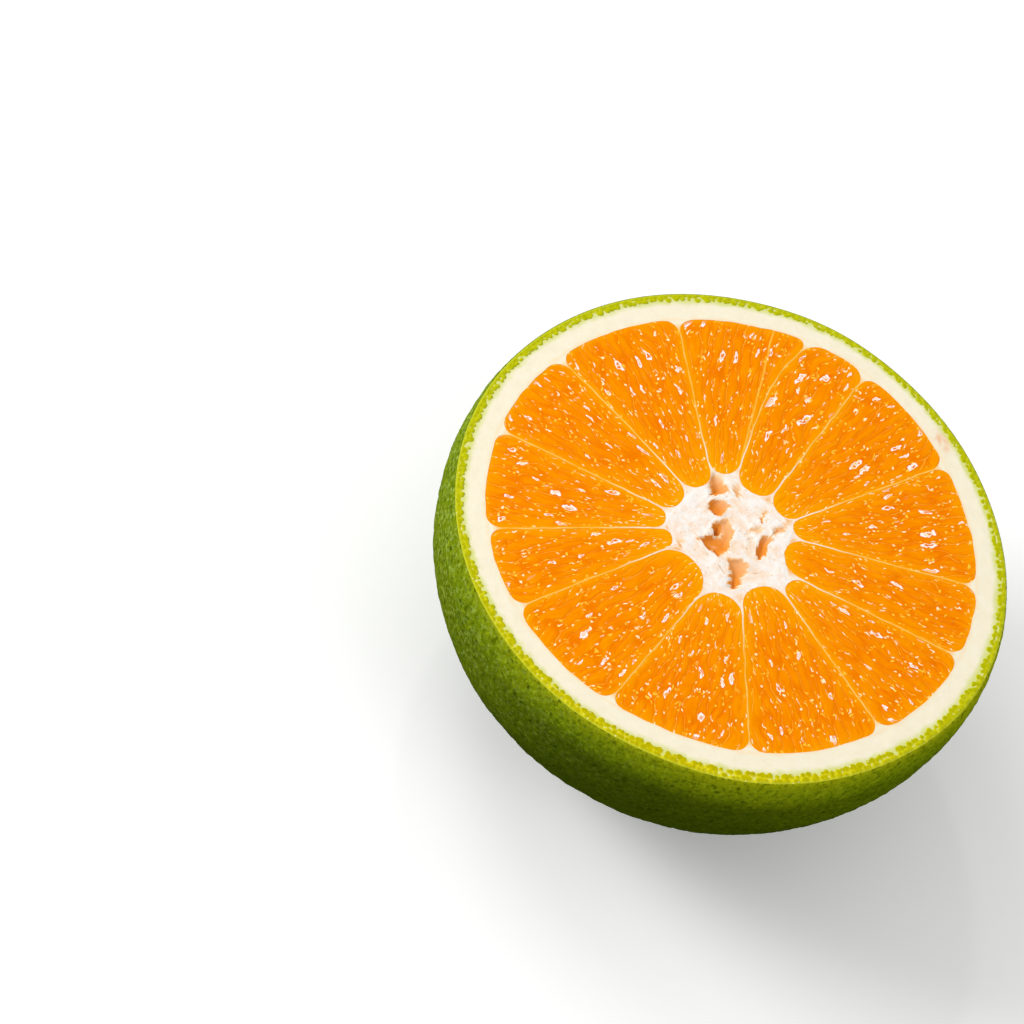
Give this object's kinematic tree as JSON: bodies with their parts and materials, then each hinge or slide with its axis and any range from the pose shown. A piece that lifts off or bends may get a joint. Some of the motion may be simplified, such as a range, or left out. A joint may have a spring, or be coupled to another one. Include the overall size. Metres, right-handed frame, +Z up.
{
  "type": "halved sweet orange",
  "caption": "Cut half of a green-skinned sweet orange, resting on its rind with the cut face up, showing orange pulp segments and white pith.",
  "frame": {"origin": "middle of the flat spot that the half rests on, straight under the middle of the core", "axes": "+Z up, along the core and out of the cut face; +X and +Y lie along the cut face, at no natural direction of the fruit"},
  "size_m": [0.076, 0.076, 0.0367],
  "materials": {
    "zest": "waxy green rind, closely pitted, satin gloss",
    "pith": "matte, soft, finely spongy cream-white",
    "pulp": "wet, translucent orange juice sacs, glossy"
  },
  "bodies": {
    "root": {"zest": "zest", "pith": "pith", "pulp_segment_01": "pulp", "pulp_segment_02": "pulp", "pulp_segment_03": "pulp", "pulp_segment_04": "pulp", "pulp_segment_05": "pulp", "pulp_segment_06": "pulp", "pulp_segment_07": "pulp", "pulp_segment_08": "pulp", "pulp_segment_09": "pulp", "pulp_segment_10": "pulp", "pulp_segment_11": "pulp", "pulp_segment_12": "pulp", "pulp_segment_13": "pulp"}
  },
  "joints": []
}
